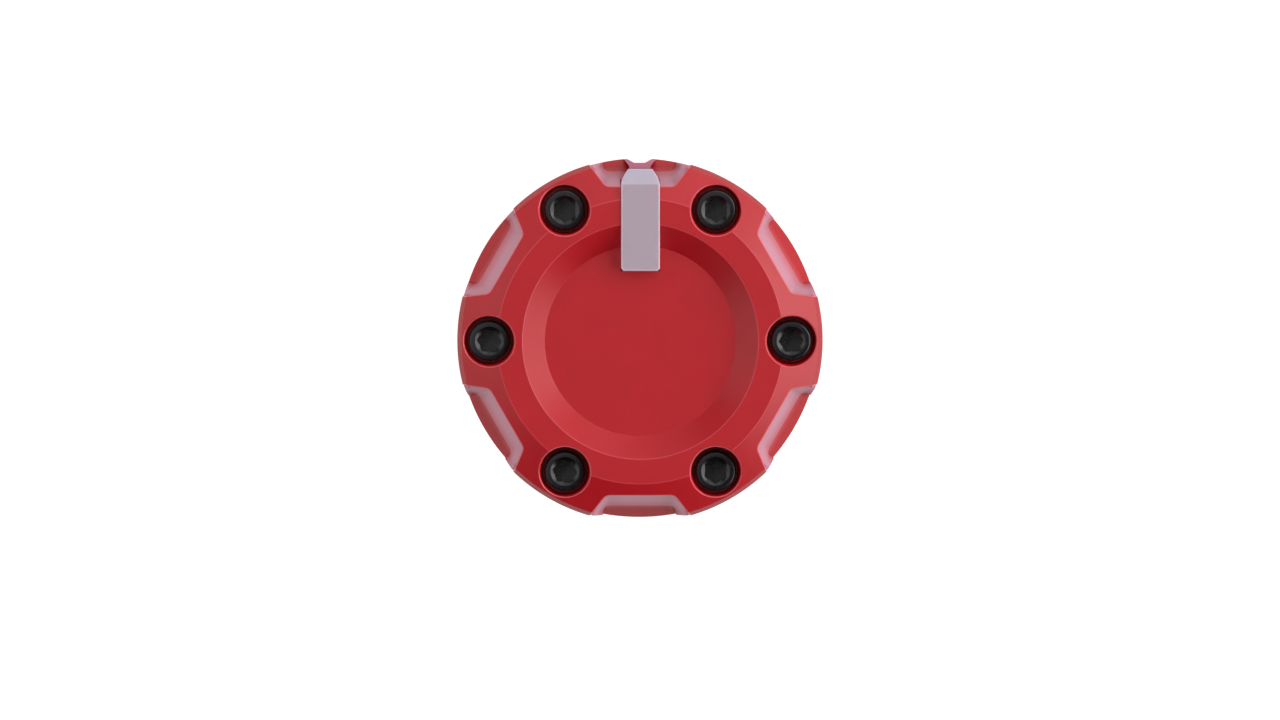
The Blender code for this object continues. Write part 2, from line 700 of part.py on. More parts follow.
def spindle():
    low, high = SPINDLE_Z
    groove_low, groove_high = CLIP_GROOVE_Z
    profile = [
        (0.0, high),
        (SPINDLE_RADIUS - SPINDLE_CHAMFER, high),
        (SPINDLE_RADIUS, high - SPINDLE_CHAMFER),
        (SPINDLE_RADIUS, groove_high),
        (CLIP_GROOVE_RADIUS, groove_high),
        (CLIP_GROOVE_RADIUS, groove_low),
        (SPINDLE_RADIUS, groove_low),
        (SPINDLE_RADIUS, SPINDLE_HEAD_TOP_Z),
        (SPINDLE_HEAD_RADIUS, SPINDLE_HEAD_TOP_Z),
        (SPINDLE_HEAD_RADIUS, low),
        (0.0, low),
    ]
    shaft = turned("spindle", profile, closed=False, steps=2 * SMALL_STEPS)
    as_part(shaft, "spring_steel")
    reach = SPINDLE_RADIUS + OVERRUN
    flat = box(
        "spindle_flat",
        (-reach, -reach, SPINDLE_FLAT_Z),
        (reach, -SPINDLE_FLAT, high + OVERRUN),
    )
    cut(shaft, flat)
    return shaft


def spindle_clip():
    """An E-clip: an open ring with three prongs that reach into the spindle's groove."""
    prong_radius, gap_radius, outer_radius = CLIP_RADII
    middle = math.pi / 2
    outer = arc(outer_radius, middle - CLIP_SPAN / 2, middle + CLIP_SPAN / 2, SMALL_STEPS)
    inner = []
    for side in (1, 0, -1):
        centre = middle + side * (CLIP_SPAN - CLIP_PRONG_SPAN) / 2
        half = CLIP_PRONG_SPAN / 2
        inner += arc(prong_radius, centre + half, centre - half, ARC_STEPS)
        if side >= 0:
            following = centre - (CLIP_SPAN - CLIP_PRONG_SPAN) / 2
            inner += arc(gap_radius, centre - half, following + half, ARC_STEPS)
    return as_part(prism("spindle_clip", outer + inner, *CLIP_Z), "spring_steel")


def thrust_washer():
    low, high = WASHER_Z
    inner, outer = WASHER_RADII
    profile = [(inner, high), (outer, high), (outer, low), (inner, low)]
    washer = turned("thrust_washer", profile, closed=True, steps=2 * SMALL_STEPS)
    return as_part(washer, "spring_steel", turns=False)


def spindle_bush():
    profile = [
        (BUSH_BORE, BUSH_TOP_Z),
        (BUSH_NECK_RADIUS, BUSH_TOP_Z),
        (BUSH_NECK_RADIUS, BUSH_FLANGE_Z),
        (BUSH_FLANGE_RADIUS, BUSH_FLANGE_Z),
        (BUSH_FLANGE_RADIUS, 0.0),
        (BUSH_RECESS_RADIUS, 0.0),
        (BUSH_RECESS_RADIUS, BUSH_RECESS_Z),
        (BUSH_BORE, BUSH_RECESS_Z),
    ]
    bush = turned("spindle_bush", profile, closed=True, steps=2 * SMALL_STEPS)
    as_part(bush, "bush_zinc", turns=False)
    hole_profile = [
        (0.0, BUSH_FLANGE_Z + OVERRUN),
        (BUSH_HOLE_RADIUS, BUSH_FLANGE_Z + OVERRUN),
        (BUSH_HOLE_RADIUS, -OVERRUN),
        (0.0, -OVERRUN),
    ]
    hole = turned("bush_hole", hole_profile, closed=False, steps=SMALL_STEPS)
    holes = ring_of(hole, math.pi / 2, BUSH_HOLE_CIRCLE)
    for spare in holes[1::2]:
        bpy.data.objects.remove(spare)
    cut(bush, *holes[::2])
    return bush


def shade_rounds():
    """Turned faces come out smooth; edges sharper than the smoothing angle stay crisp."""
    for part in PARTS.objects:
        if part.type == "MESH" and part.data.polygons:
            part.data.shade_smooth()
            part.data.set_sharp_from_angle(angle=SMOOTH_ANGLE)


def main():
    groove = groove_cutter()
    front_cover()
    light_ring(groove)
    pointer()
    base_body(groove)
    shaft_socket()
    spring_clip()
    spindle()
    spindle_clip()
    thrust_washer()
    spindle_bush()
    for index in range(SCREW_COUNT):
        screw(index)
        insert(index)
    shade_rounds()


main()
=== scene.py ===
"""Looks of a rotary control knob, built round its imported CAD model.

The red cover and base, the translucent light ring and pointer, and the small parts inside are
remade at fine resolution from a few driving sizes. Most of them are plan solids: a plan drawn with
loops, with one height for its upper face and one for its lower face at each point. The screws and
other turned parts are lofted through rings of points.

Plans and heights are in millimetres, turned to metres when a mesh is made. +Y is 12 o'clock.
"""

import math

import bmesh
import bpy
from mathutils import Matrix, Vector, geometry


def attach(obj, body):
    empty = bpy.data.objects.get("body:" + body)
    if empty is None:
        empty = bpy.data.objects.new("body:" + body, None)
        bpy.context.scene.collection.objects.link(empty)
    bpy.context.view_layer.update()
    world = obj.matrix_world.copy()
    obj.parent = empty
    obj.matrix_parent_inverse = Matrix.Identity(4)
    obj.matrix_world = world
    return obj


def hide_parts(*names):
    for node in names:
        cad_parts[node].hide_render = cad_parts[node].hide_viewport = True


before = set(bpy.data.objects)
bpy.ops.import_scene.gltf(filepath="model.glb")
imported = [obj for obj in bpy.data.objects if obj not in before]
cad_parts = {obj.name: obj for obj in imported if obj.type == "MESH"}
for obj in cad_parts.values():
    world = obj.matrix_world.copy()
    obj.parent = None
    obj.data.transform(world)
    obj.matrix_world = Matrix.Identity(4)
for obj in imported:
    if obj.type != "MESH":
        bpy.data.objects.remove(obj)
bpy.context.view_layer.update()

MM = 0.001
SIXTH = math.tau / 6
QUARTER = math.pi / 2

# Sizes shared with the CAD model
COVER_RADIUS = 26.0
BASE_RADIUS = 25.85
COVER_BOTTOM = 14.05
LAND_Z = 21.0
LAND_RADIUS = 20.2
SLOPE_FOOT = (25.35, 18.5)
COVER_PROFILE = ((0.0, 18.5), (13.55, 18.5), (16.7, LAND_Z), (LAND_RADIUS, LAND_Z), SLOPE_FOOT,
                 (COVER_RADIUS, 16.25))
COVER_RECESS = (15.9, 16.1)
COVER_SKIN = 1.6
SCREW_CIRCLE = 21.4
SCREW_HOLE = 1.7
COUNTERBORE = (3.6, 15.4)
WINDOW_CHORD = 21.94
WINDOW_HALF = 4.85
WINDOW_FLARE = 0.757
WINDOW_CORNER = 1.2
WINDOW_REACH = 29.0
LENS_FOOT_CHORD = 23.98
LENS_TOP_Z = 18.5
RAMP_FOOT = (26.1, 5.8)
PAD_OUTLINE = ((5.7, 20.8), (8.2, 23.5), (5.2, 24.4))
RING_INNER = 15.6
RING_Z = (10.05, 13.95)
TONGUE_WAIST = (1.5, 24.75)
TONGUE_RIM_HALF = 2.36
TONGUE_INNER = 22.4
TONGUE_Z = (3.6, 15.2)
GROOVE_HALF = (1.95, 0.83)
GROOVE_DEPTH = 0.6
POINTER_HALF = 2.74
POINTER_ENDS = (9.95, 24.35)
POINTER_BEND = 22.2
POINTER_Z = (21.4, 19.6)
POINTER_END_HALF = 1.7
POINTER_FEET = ((15.95, 16.2), (22.3, 14.05), (26.0, 15.25))
LIP_HALF = 3.6
LIP_ENDS = (16.2, 20.35)
LIP_TOP = 15.55
CLEARANCE = 0.06
HUB_RADII = (5.75, 8.3)
HUB_Z = (6.6, 13.9)
SPIGOT_RADII = (13.6, 15.5)
SPIGOT_TOP = 13.5
BASE_WALL_INNER = 23.6
PLATE_Z = (8.0, 10.0)
REAR_RIM_Z = 1.0
BOSS = (3.25, 4.5)
RIB = (0.6, 5.5)
INSERT_HOLE = 2.15
LIGHT_SLOT_RADII = (16.5, 20.3)
LIGHT_SLOT_HALF_SPAN = math.radians(14)
KEY_HALF = 1.2
KEY_BOTTOM = 12.6
HEAD_RADIUS = 2.84
HEAD_Z = (15.45, 18.45)
SHANK_RADIUS = 1.5
SCREW_TIP = 5.45
HEX_TURNS = (4.0, 30.0, 30.0, -6.0, -8.0, 28.0)

# Finer shape that only this model has: broken edges, and the widths of the painted highlights along
# some of them
EDGE = 0.15
SMALL_EDGE = 0.12
SLOT_EDGE = 0.05
HIGHLIGHT_LINE_HALF = 0.07
FILLET = 0.16
BORE_DRAFT = 0.35
POINTER_CURVE = 1.5
POINTER_HIGHLIGHT_BAND = 0.24
POINTER_CORNER = 0.35
CORNER_EASE = 0.4

# The foot of a lens face, which flares less than its window
FOOT_HALF = 5.1
FOOT_FLARE = 0.12
FOOT_CORNER = 0.9

# Room between the pieces
SLOT_GAP = 0.02
CHEEK_GAP = 0.04
SEAT_GAP = 0.05
KEY_GAP = 0.1
PAD_GAP = 0.12
PAD_GAP_ENDS = (0.1, 0.14)
PAD_HEADROOM = 0.1
GROOVE_RELIEF = 0.45

# The screws. Pairs are an inset from the full radius, and a height from the tip or from the
# head's underside, or a depth below its top for the band
TIP_RING = 0.5
TIP_CHAMFER = (0.35, 0.1)
THREAD_PITCH = 0.5
THREAD_DEPTH = 0.27
THREAD_START = 0.2
THREAD_TO_HEAD = 1.2
THREAD_FADE = 0.15
HEAD_FILLET = 0.1
HEAD_FOOT = ((0.2, 0.0), (0.05, 0.12), (0.05, 0.2))
KNURL_DEPTH = 0.05
KNURL_FOOT = 0.3
KNURL_END = 0.62
HEAD_BAND = (0.02, 0.52)
HEAD_ROUND = 0.26
SOCKET_MOUTH = 2.04
SOCKET_APOTHEM = 1.5
SOCKET_CHAMFER = 0.55
SOCKET_DEPTH = 1.9
# Pairs of a radius and a depth below the floor's edge
SOCKET_FLOOR = ((1.15, 0.02), (0.25, 0.06))

# How finely the meshes are divided
DRAFT = 0.02
ROUND = 288
SMALL_ROUND = 72
FILLET_STEPS = 3
CORNER_STEPS = 8
LENS_STEPS = 6
POINTER_STATIONS = 12
POINTER_EDGE_STEPS = 3
SCREW_STEPS = 96
KNURL_STEPS = 4
THREAD_ROWS = 8
HEAD_ROUND_STEPS = 4
SOCKET_STEPS = 8
LONGEST = 0.6
SHARP = math.radians(24)
CDT_EPSILON = 1e-7
# The least fall that counts as a broken edge, and the light ring's least thickness
LEAST_DROP = 0.001
THINNEST = 0.01
# How far loops run past what they cut, and how far out those run that cross the rim
MARGIN = 1.0
RIM_REACH = COVER_RADIUS + 2.0


# ---------------------------------------------------------------- plans


def circle(radius, centre=(0.0, 0.0), steps=ROUND):
    angles = [math.tau * i / steps for i in range(steps)]
    return [(centre[0] + radius * math.cos(a), centre[1] + radius * math.sin(a)) for a in angles]


def turned_plan(loop, angle):
    c, s = math.cos(angle), math.sin(angle)
    return [(x * c - y * s, x * s + y * c) for x, y in loop]


def mirrored(half):
    return half + [(-x, y) for x, y in reversed(half)]


def rectangle(low, high):
    return [low, (high[0], low[1]), high, (low[0], high[1])]


def polar(radius, angle):
    return (radius * math.cos(angle), radius * math.sin(angle))


def folded(x, y, first):
    """The point as (across, out) from the nearest of six directions, the first at that angle."""
    radius, angle = math.hypot(x, y), math.atan2(y, x) - first
    angle -= round(angle / SIXTH) * SIXTH
    return -radius * math.sin(angle), radius * math.cos(angle)


def at_window(x, y):
    return folded(x, y, SIXTH / 2)


def from_screw(x, y):
    """Distance to the axis of the nearest screw."""
    across, out = folded(x, y, 0.0)
    return math.hypot(across, out - SCREW_CIRCLE)


WINDOW_ANGLES = [SIXTH * (i + 0.5) for i in range(6)]
SCREW_PLACES = [polar(SCREW_CIRCLE, SIXTH * i) for i in range(6)]


class Outline:
    """A notch in the rim, in its own frame: a chord, a rounded corner and a flared side."""

    def __init__(self, half, flare, corner):
        self.flare, self.corner = flare, corner
        self.turn = QUARTER - math.atan(flare)
        self.start = half - corner * math.tan(self.turn / 2)
        self.along = Vector((flare, 1.0)).normalized()

    def loop(self, chord, grow=0.0):
        """The outline at a chord, grown outwards by a distance."""
        radius = self.corner + grow
        half = []
        for i in range(CORNER_STEPS + 1):
            x, y = polar(radius, self.turn * i / CORNER_STEPS - QUARTER)
            half.append((self.start + x, chord + self.corner + y))
        end = half[-1]
        half.append((end[0] + (WINDOW_REACH - end[1]) * self.flare, WINDOW_REACH))
        return mirrored(half)

    def distance(self, across, out, chord):
        """How far a point lies outside the outline at a chord; negative inside it."""
        from_centre = Vector((abs(across) - self.start, out - chord - self.corner))
        if from_centre.x <= 0.0:
            return chord - out
        if from_centre.dot(self.along) < 0.0:
            return from_centre.length - self.corner
        return from_centre.dot(Vector((self.along.y, -self.along.x))) - self.corner


WINDOW = Outline(WINDOW_HALF, WINDOW_FLARE, WINDOW_CORNER)
FOOT = Outline(FOOT_HALF, FOOT_FLARE, FOOT_CORNER)


def box_distance(x, y, low, high):
    """How far a point lies outside a rectangle; negative inside it."""
    dx = max(low[0] - x, x - high[0])
    dy = max(low[1] - y, y - high[1])
    if dx > 0.0 and dy > 0.0:
        return math.hypot(dx, dy)
    return max(dx, dy)


def within(x, y, outline):
    """Whether a point is inside a convex outline listed anticlockwise."""
    for (ax, ay), (bx, by) in zip(outline, outline[1:] + outline[:1]):
        if (bx - ax) * (y - ay) - (by - ay) * (x - ax) < 0.0:
            return False
    return True


def pad_loop(grow=0.0):
    """The outline of a light-ring pad behind a window, grown by a clearance."""
    (inner_x, inner_y), (side_x, side_y), (outer_x, outer_y) = PAD_OUTLINE
    half = [(inner_x + grow, inner_y - grow), (side_x + grow, side_y),
            (outer_x + grow, outer_y + grow)]
    return mirrored(half)


PAD_POCKET = pad_loop(PAD_GAP)
PAD_PLAN = pad_loop(DRAFT / 2)


def slope_z(radius):
    """Height of the cover's sloped face, or of its level line, at this distance out."""
    fall = (LAND_Z - SLOPE_FOOT[1]) / (SLOPE_FOOT[0] - LAND_RADIUS)
    return LAND_Z - (radius - LAND_RADIUS) * fall


def rounded_profile(corners, radius, steps):
    """A line of (radius, z) points with each inner corner made an arc."""
    points = [Vector(corners[0])]
    for before, corner, after in zip(corners, corners[1:], corners[2:]):
        before, corner, after = Vector(before), Vector(corner), Vector(after)
        into, out = (corner - before).normalized(), (after - corner).normalized()
        reach = radius * math.tan(into.angle(out) / 2)
        start, end = corner - into * reach, corner + out * reach
        for i in range(steps + 1):
            t = i / steps
            points.append(start * (1 - t) ** 2 + corner * 2 * t * (1 - t) + end * t**2)
    points.append(Vector(corners[-1]))
    return [tuple(point) for point in points]


def height_on(profile, radius):
    """Height of a profile of (radius, z) points at a radius."""
    for (r0, z0), (r1, z1) in zip(profile, profile[1:]):
        if radius <= r1:
            return z0 + (z1 - z0) * (radius - r0) / (r1 - r0)
    return profile[-1][1]


# ---------------------------------------------------------------- meshes


def finished(name, shape, materials):
    """Makes the object: smooth shading, sharp edges, and normals that follow the large faces."""
    mesh = bpy.data.meshes.new(name)
    bmesh.ops.recalc_face_normals(shape, faces=shape.faces)
    shape.to_mesh(mesh)
    shape.free()
    for material in materials:
        mesh.materials.append(material)
    mesh.shade_smooth()
    mesh.set_sharp_from_angle(angle=SHARP)
    obj = bpy.data.objects.new(name, mesh)
    bpy.context.scene.collection.objects.link(obj)
    weighted = obj.modifiers.new("weighted_normals", "WEIGHTED_NORMAL")
    weighted.keep_sharp = True
    return obj


def divided(loop):
    """The loop with its long straight stretches cut up, so that they can follow a curved face."""
    points = []
    for start, end in zip(loop, loop[1:] + loop[:1]):
        start, end = Vector(start), Vector(end)
        count = max(1, math.ceil((end - start).length / LONGEST))
        points.extend(start.lerp(end, i / count) for i in range(count))
    return points


def plan_solid(name, loops, inside, top, bottom, materials, look=None):
    """A closed solid over a plan. Loops are drawn on the plan, inside says where the solid is, and
    top and bottom give its heights there. Where a height jumps, two loops lie close together.
    look gives the upper face's material at a point; without it, all is of the first material."""
    points, edges = [], []
    for loop in map(divided, loops):
        start = len(points)
        points.extend(loop)
        edges.extend((start + i, start + (i + 1) % len(loop)) for i in range(len(loop)))
    plan, _, triangles, *_ = geometry.delaunay_2d_cdt(points, edges, [], 0, CDT_EPSILON)
    shape = bmesh.new()
    upper, lower = {}, {}
    for corners in triangles:
        middle = sum((plan[i] for i in corners), Vector((0.0, 0.0))) / 3
        if not inside(*middle):
            continue
        for i in corners:
            if i not in upper:
                x, y = plan[i]
                upper[i] = shape.verts.new((x * MM, y * MM, top(x, y) * MM))
                lower[i] = shape.verts.new((x * MM, y * MM, bottom(x, y) * MM))
        face = shape.faces.new([upper[i] for i in corners])
        if look:
            face.material_index = materials.index(look(*middle))
        shape.faces.new([lower[i] for i in reversed(corners)])
    index_of = {vert: i for i, vert in upper.items()}
    rims = [edge for edge in shape.edges if edge.is_boundary and edge.verts[0] in index_of]
    for rim in rims:
        a, b = (index_of[vert] for vert in rim.verts)
        shape.faces.new([upper[a], upper[b], lower[b], lower[a]])
    return finished(name, shape, materials)


def lofted(name, rows, materials, steps=SCREW_STEPS, closed=False):
    """A solid through rings of points, from the first to the last: each row is (radius, z), and a
    radius may be a function of the angle. An open loft is closed by a cap at each end."""
    shape = bmesh.new()
    rings = []
    for radius, z in rows:
        ring = []
        for i in range(steps):
            angle = math.tau * i / steps
            length = radius(angle) if callable(radius) else radius
            ring.append(shape.verts.new((*(MM * c for c in polar(length, angle)), z * MM)))
        rings.append(ring)
    pairs = list(zip(rings, rings[1:]))
    if closed:
        pairs.append((rings[-1], rings[0]))
    for low, high in pairs:
        for i in range(steps):
            j = (i + 1) % steps
            shape.faces.new([low[i], low[j], high[j], high[i]])
    if not closed:
        shape.faces.new(rings[0])
        shape.faces.new(rings[-1])
    return finished(name, shape, materials)


def installed(piece, body, slot, *nodes):
    """Hangs a piece on its body, in place of its CAD nodes."""
    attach(piece, body)
    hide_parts(*nodes)


# ---------------------------------------------------------------- materials


class Shader:
    """A Principled material with short ways to add the nodes that most of them share."""

    def __init__(self, name, **values):
        self.material = bpy.data.materials.new(name)
        self.material.use_nodes = True
        self.tree = self.material.node_tree
        self.surface = self.tree.nodes["Principled BSDF"]
        for socket, value in values.items():
            self.surface.inputs[socket.replace("_", " ")].default_value = value
        self.place = self.tree.nodes.new("ShaderNodeTexCoord").outputs["Object"]

    def node(self, kind, **settings):
        node = self.tree.nodes.new(kind)
        for field, value in settings.items():
            setattr(node, field, value)
        return node

    def link(self, output, socket):
        self.tree.links.new(output, socket)

    def noise(self, per_mm, detail=2.0, distortion=0.0, stretch=(1.0, 1.0, 1.0)):
        """Noise with about that many features to a millimetre."""
        mapping = self.node("ShaderNodeMapping")
        mapping.inputs["Scale"].default_value = [per_mm / MM * s for s in stretch]
        self.link(self.place, mapping.inputs["Vector"])
        noise = self.node("ShaderNodeTexNoise")
        noise.inputs["Scale"].default_value = 1.0
        noise.inputs["Detail"].default_value = detail
        noise.inputs["Distortion"].default_value = distortion
        self.link(mapping.outputs["Vector"], noise.inputs["Vector"])
        return noise.outputs["Fac"]

    def span(self, value, low, high, start=0.0, end=1.0):
        """Carries a value from the range start..end to the range low..high."""
        scale = self.node("ShaderNodeMapRange")
        scale.inputs["From Min"].default_value = start
        scale.inputs["From Max"].default_value = end
        scale.inputs["To Min"].default_value = low
        scale.inputs["To Max"].default_value = high
        self.link(value, scale.inputs["Value"])
        return scale.outputs["Result"]

    def maths(self, operation, *values):
        node = self.node("ShaderNodeMath", operation=operation)
        for socket, value in zip(node.inputs, values):
            if isinstance(value, (int, float)):
                socket.default_value = value
            else:
                self.link(value, socket)
        return node.outputs["Value"]

    def blend(self, share, first, second):
        """A colour between two others, each a colour or another node's output."""
        mix = self.node("ShaderNodeMix", data_type="RGBA")
        self.link(share, mix.inputs["Factor"])
        for socket, colour in (("A", first), ("B", second)):
            target = [s for s in mix.inputs if s.name == socket and s.type == "RGBA"][0]
            if isinstance(colour, tuple):
                target.default_value = (*colour, 1.0)
            else:
                self.link(colour, target)
        return [s for s in mix.outputs if s.type == "RGBA"][0]

    def axes(self):
        split = self.node("ShaderNodeSeparateXYZ")
        self.link(self.place, split.inputs["Vector"])
        return split.outputs

    def bump(self, height, depth_mm, strength=1.0, onto=None):
        bump = self.node("ShaderNodeBump")
        bump.inputs["Strength"].default_value = strength
        bump.inputs["Distance"].default_value = depth_mm * MM
        self.link(height, bump.inputs["Height"])
        if onto is not None:
            self.link(onto, bump.inputs["Normal"])
        self.link(bump.outputs["Normal"], self.surface.inputs["Normal"])
        return bump.outputs["Normal"]

    def set(self, socket, output):
        self.link(output, self.surface.inputs[socket])


def red_plastic(name, colour, darker, roughness, specular=0.5, painted_tone=None):
    """Fine-grained red: a close grain, a faint mottle and slightly uneven gloss. With painted_tone
    it goes towards another colour between two heights, given as (colour, from, to), which paints
    light into it."""
    shader = Shader(name, Specular_IOR_Level=specular)
    grain = shader.noise(5.0, detail=3.0)
    mottle = shader.noise(0.25, detail=3.0)
    both = shader.maths("ADD", shader.maths("MULTIPLY", grain, 0.6),
                        shader.maths("MULTIPLY", mottle, 0.4))
    mixed = shader.blend(shader.span(both, 0.0, 1.0, 0.38, 0.62), darker, colour)
    if painted_tone:
        painted_colour, start, end = painted_tone
        height = shader.maths("ADD", shader.axes()["Z"], shader.maths("MULTIPLY", mottle, 0.3 * MM))
        mixed = shader.blend(shader.span(height, 0.0, 1.0, start * MM, end * MM), mixed, painted_colour)
    shader.set("Base Color", mixed)
    shader.set("Roughness", shader.span(grain, roughness - 0.05, roughness + 0.07, 0.3, 0.7))
    shader.bump(grain, 0.012, 0.55, onto=shader.bump(mottle, 0.03, 0.3))
    return shader.material


def frosted(name, colour, painted_red_glow, glow_from, glow_to, glow_share):
    """Frosted translucent acrylic, with the red light from the red parts round its foot painted
    into its colour, stronger towards the foot.
    """
    shader = Shader(name, Roughness=0.55, Subsurface_Weight=0.6, Subsurface_Scale=1.2 * MM,
                    Subsurface_Radius=(1.0, 0.55, 0.6), Specular_IOR_Level=0.35)
    cloud = shader.noise(0.35, detail=2.0)
    frost = shader.noise(9.0, detail=2.0)
    height = shader.maths("ADD", shader.axes()["Z"], shader.maths("MULTIPLY", cloud, 0.8 * MM))
    near = shader.span(height, glow_share, 0.0, glow_from * MM, glow_to * MM)
    shader.set("Base Color", shader.blend(near, colour, painted_red_glow))
    shader.set("Roughness", shader.span(frost, 0.48, 0.62, 0.3, 0.7))
    shader.bump(frost, 0.006, 0.5)
    return shader.material


def black_oxide():
    """Black oxide on steel: dark, slightly oily, with fine turning marks round the head."""
    shader = Shader("black_oxide", Metallic=0.0, Specular_IOR_Level=0.5)
    axes = shader.axes()
    radius = shader.maths("SQRT", shader.maths(
        "ADD", shader.maths("POWER", axes["X"], 2.0), shader.maths("POWER", axes["Y"], 2.0)))
    rings = shader.maths("SINE", shader.maths("MULTIPLY", radius, math.tau / (0.16 * MM)))
    oil = shader.noise(1.3, detail=3.0, distortion=0.6)
    speck = shader.noise(8.0, detail=2.0)
    shader.set("Base Color", shader.blend(
        shader.span(oil, 0.0, 1.0, 0.35, 0.65), (0.003, 0.003, 0.0045), (0.006, 0.006, 0.0085)))
    shader.set("Roughness", shader.span(oil, 0.20, 0.30, 0.3, 0.7))
    shader.bump(speck, 0.004, 0.2, onto=shader.bump(rings, 0.003, 0.25))
    return shader.material


def turned_metal(name, colour, darker, roughness, mark_mm):
    """Turned metal: fine marks round the axis and a little tarnish."""
    shader = Shader(name, Metallic=1.0)
    marks = shader.noise(1.0 / mark_mm, detail=2.0, stretch=(0.05, 0.05, 1.0))
    tarnish = shader.noise(0.6, detail=4.0, distortion=0.8)
    shader.set("Base Color", shader.blend(
        shader.span(tarnish, 0.0, 1.0, 0.4, 0.65), colour, darker))
    shader.set("Roughness", shader.span(marks, roughness - 0.08, roughness + 0.1, 0.3, 0.7))
    shader.bump(marks, 0.006, 0.4)
    return shader.material


def cast_zinc():
    """Passivated die-cast zinc, with a faint cast grain."""
    shader = Shader("cast_zinc", Metallic=1.0)
    grain = shader.noise(3.0, detail=4.0)
    stain = shader.noise(0.3, detail=4.0, distortion=1.0)
    shader.set("Base Color", shader.blend(
        shader.span(stain, 0.0, 1.0, 0.4, 0.65), (0.40, 0.40, 0.42), (0.28, 0.27, 0.24)))
    shader.set("Roughness", shader.span(grain, 0.38, 0.55, 0.3, 0.7))
    shader.bump(grain, 0.02, 0.5)
    return shader.material


def black_nylon():
    shader = Shader("black_nylon", Specular_IOR_Level=0.4)
    grain = shader.noise(6.0, detail=3.0)
    shader.set("Base Color", shader.blend(
        shader.span(grain, 0.0, 1.0, 0.35, 0.65), (0.012, 0.012, 0.013), (0.026, 0.026, 0.028)))
    shader.set("Roughness", shader.span(grain, 0.48, 0.62, 0.3, 0.7))
    shader.bump(grain, 0.012, 0.5)
    return shader.material


RED = red_plastic("red_satin", (0.455, 0.0030, 0.0095), (0.415, 0.0022, 0.0080), 0.41)
# Lighter pink on the broken edges: a painted highlight
RED_EDGE_PAINTED_HIGHLIGHT = red_plastic("red_edge_break_painted_highlight", (0.62, 0.080, 0.105), (0.55, 0.060, 0.080), 0.36)
# Lighter red along the land's two edges: a painted highlight line
RED_PAINTED_HIGHLIGHT_LINE = red_plastic("red_painted_highlight_line", (0.54, 0.042, 0.058), (0.48, 0.034, 0.048), 0.34)
# A darker copy of the red for the steep rim: painted shade
RED_RIM_PAINTED_SHADE = red_plastic("red_rim_painted_shade", (0.36, 0.0075, 0.0130), (0.33, 0.0065, 0.0110), 0.52, 0.16)
# A darker copy of the red for the ramps: painted shade, going pink near the lens foot as a painted
# glow of light through the lens
RED_RAMP_PAINTED_SHADE_AND_GLOW = red_plastic("red_ramp_painted_shade_and_glow", (0.40, 0.0050, 0.0090), (0.36, 0.0040, 0.0075), 0.50, 0.16,
                       ((0.42, 0.038, 0.054), 8.9, 10.0))
# A lighter red for the counterbore walls: painted light in their shade
RED_BORE_PAINTED_LIGHT = red_plastic("red_bore_painted_light", (0.66, 0.0060, 0.0120), (0.60, 0.0050, 0.0100), 0.55, 0.20)
# The lens and the pointer colours go towards red near their feet: painted red light from the red
# parts round them
LENS = frosted("frosted_lens", (0.435, 0.165, 0.225), (0.42, 0.030, 0.045), 10.0, 15.2, 0.85)
POINTER = frosted("frosted_pointer", (0.425, 0.345, 0.405), (0.38, 0.17, 0.21), 14.5, 17.5, 0.6)
# Lighter on the bar's rounded edges: a painted highlight
POINTER_EDGE_PAINTED_HIGHLIGHT = frosted(
    "frosted_pointer_edge_painted_highlight", (0.56, 0.43, 0.50), (0.50, 0.26, 0.31), 14.5, 17.5, 0.6)
# Lighter and bluer on the sloped end: painted light from its tilt towards the lamps
POINTER_SLOPE_PAINTED_LIGHT = frosted(
    "frosted_pointer_slope_painted_light", (0.44, 0.395, 0.475), (0.44, 0.25, 0.30), 14.5, 19.0, 0.6)
BLACK_OXIDE = black_oxide()
BRASS = turned_metal("insert_brass", (0.60, 0.42, 0.17), (0.42, 0.27, 0.09), 0.30, 0.12)
STEEL = turned_metal("turned_steel", (0.46, 0.47, 0.49), (0.34, 0.34, 0.35), 0.28, 0.10)
ZINC = cast_zinc()
NYLON = black_nylon()


# ---------------------------------------------------------------- pieces


COVER_LINE = rounded_profile(COVER_PROFILE, FILLET, FILLET_STEPS)
SLOT_LOW = (-POINTER_HALF - SLOT_GAP, POINTER_ENDS[0] - SLOT_GAP)
SLOT_HIGH = (POINTER_HALF + SLOT_GAP, WINDOW_CHORD + WINDOW_CORNER)


def in_window(x, y):
    return WINDOW.distance(*at_window(x, y), WINDOW_CHORD) < 0.0


def in_slot(x, y):
    return box_distance(x, y, SLOT_LOW, SLOT_HIGH) < 0.0


